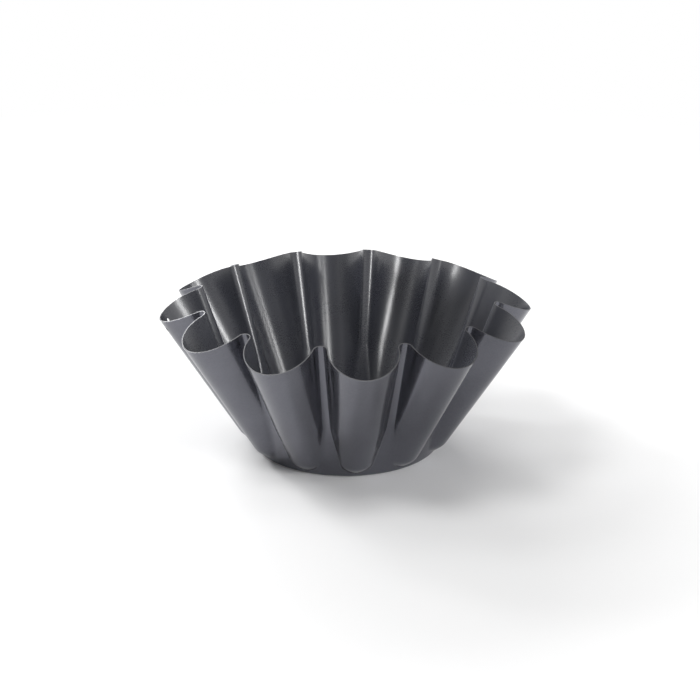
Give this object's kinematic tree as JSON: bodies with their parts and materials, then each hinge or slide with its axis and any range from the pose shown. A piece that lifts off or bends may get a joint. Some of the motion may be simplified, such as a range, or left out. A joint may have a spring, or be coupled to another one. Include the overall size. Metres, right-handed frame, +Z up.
{
  "type": "brioche mould",
  "caption": "Round fluted brioche mould: a bowl pressed from one coated steel sheet, with rounded lobes flaring from a small flat base to a wavy cut rim.",
  "frame": {"origin": "centre of the flat underside, on the surface the mould stands on", "axes": "+Z up through the middle of the bowl; a lobe points along each of +X, -X, +Y and -Y, and the hanging holes are in the lobe on -X"},
  "size_m": [0.2004, 0.2004, 0.0841],
  "materials": {
    "bare_steel": "bare cut edge of cold-rolled sheet, satin",
    "release_coat": "dark grey non-stick coat, semi-gloss, faint grain",
    "outside_coat": "dark grey coat with a violet-blue tint, satin"
  },
  "bodies": {
    "root": {"steel_shell": "bare_steel", "inner_release_coat": "release_coat", "outer_coat": "outside_coat"}
  },
  "joints": []
}
